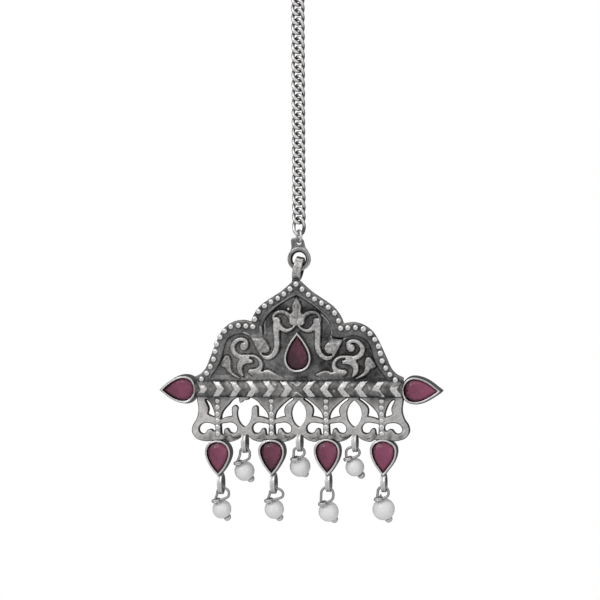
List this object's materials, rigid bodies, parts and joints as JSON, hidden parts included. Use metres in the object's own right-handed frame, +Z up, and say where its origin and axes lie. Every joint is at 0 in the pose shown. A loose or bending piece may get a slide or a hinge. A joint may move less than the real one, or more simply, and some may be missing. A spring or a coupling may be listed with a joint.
{
  "type": "maang tikka",
  "caption": "Silver head pendant: a scrolled, pierced crown with set stones and pearl drops, hung from a curb chain with a hair hook.",
  "frame": {"origin": "inner top of the hair hook's bow, where the jewel hangs in the hair", "axes": "+Z up along the hanging chain, -Y towards the viewer of the crown's face, +X to that viewer's right"},
  "size_m": [0.051, 0.0067, 0.1017],
  "materials": {
    "cast_silver": null,
    "wire_silver": "silver wire, rubbed bright on its high sides",
    "raspberry_stone": "polished, dark raspberry red",
    "pearl": "milky white with a soft sheen"
  },
  "bodies": {
    "chain": {"hair_hook": "wire_silver", "chain_link_01": "wire_silver", "chain_link_02": "wire_silver", "chain_link_03": "wire_silver", "chain_link_04": "wire_silver", "chain_link_05": "wire_silver", "chain_link_06": "wire_silver", "chain_link_07": "wire_silver", "chain_link_08": "wire_silver", "chain_link_09": "wire_silver", "chain_link_10": "wire_silver", "chain_link_11": "wire_silver", "chain_link_12": "wire_silver", "chain_link_13": "wire_silver", "chain_link_14": "wire_silver", "chain_link_15": "wire_silver", "chain_link_16": "wire_silver", "chain_link_17": "wire_silver", "chain_link_18": "wire_silver", "chain_link_19": "wire_silver", "chain_link_20": "wire_silver", "chain_link_21": "wire_silver", "chain_link_22": "wire_silver", "chain_link_23": "wire_silver", "chain_link_24": "wire_silver", "end_link": "wire_silver", "small_link": "wire_silver", "connector": "wire_silver"},
    "pendant": {"crown": "cast_silver", "stone_centre": "raspberry_stone", "stone_left": "raspberry_stone", "stone_right": "raspberry_stone", "stone_lower_1": "raspberry_stone", "stone_lower_2": "raspberry_stone", "stone_lower_3": "raspberry_stone", "stone_lower_4": "raspberry_stone", "drop_wire_1": "wire_silver", "drop_wire_2": "wire_silver", "drop_wire_3": "wire_silver", "drop_wire_4": "wire_silver", "drop_wire_5": "wire_silver", "drop_wire_6": "wire_silver", "drop_wire_7": "wire_silver", "pearl_1": "pearl", "pearl_2": "pearl", "pearl_3": "pearl", "pearl_4": "pearl", "pearl_5": "pearl", "pearl_6": "pearl", "pearl_7": "pearl"}
  },
  "joints": [
    {"name": "pendant_swing", "type": "hinge", "parent": "chain", "child": "pendant", "pos_m": [0, 0, -0.05565], "axis": [1, 0, 0], "range_deg": [-70, 70]}
  ]
}
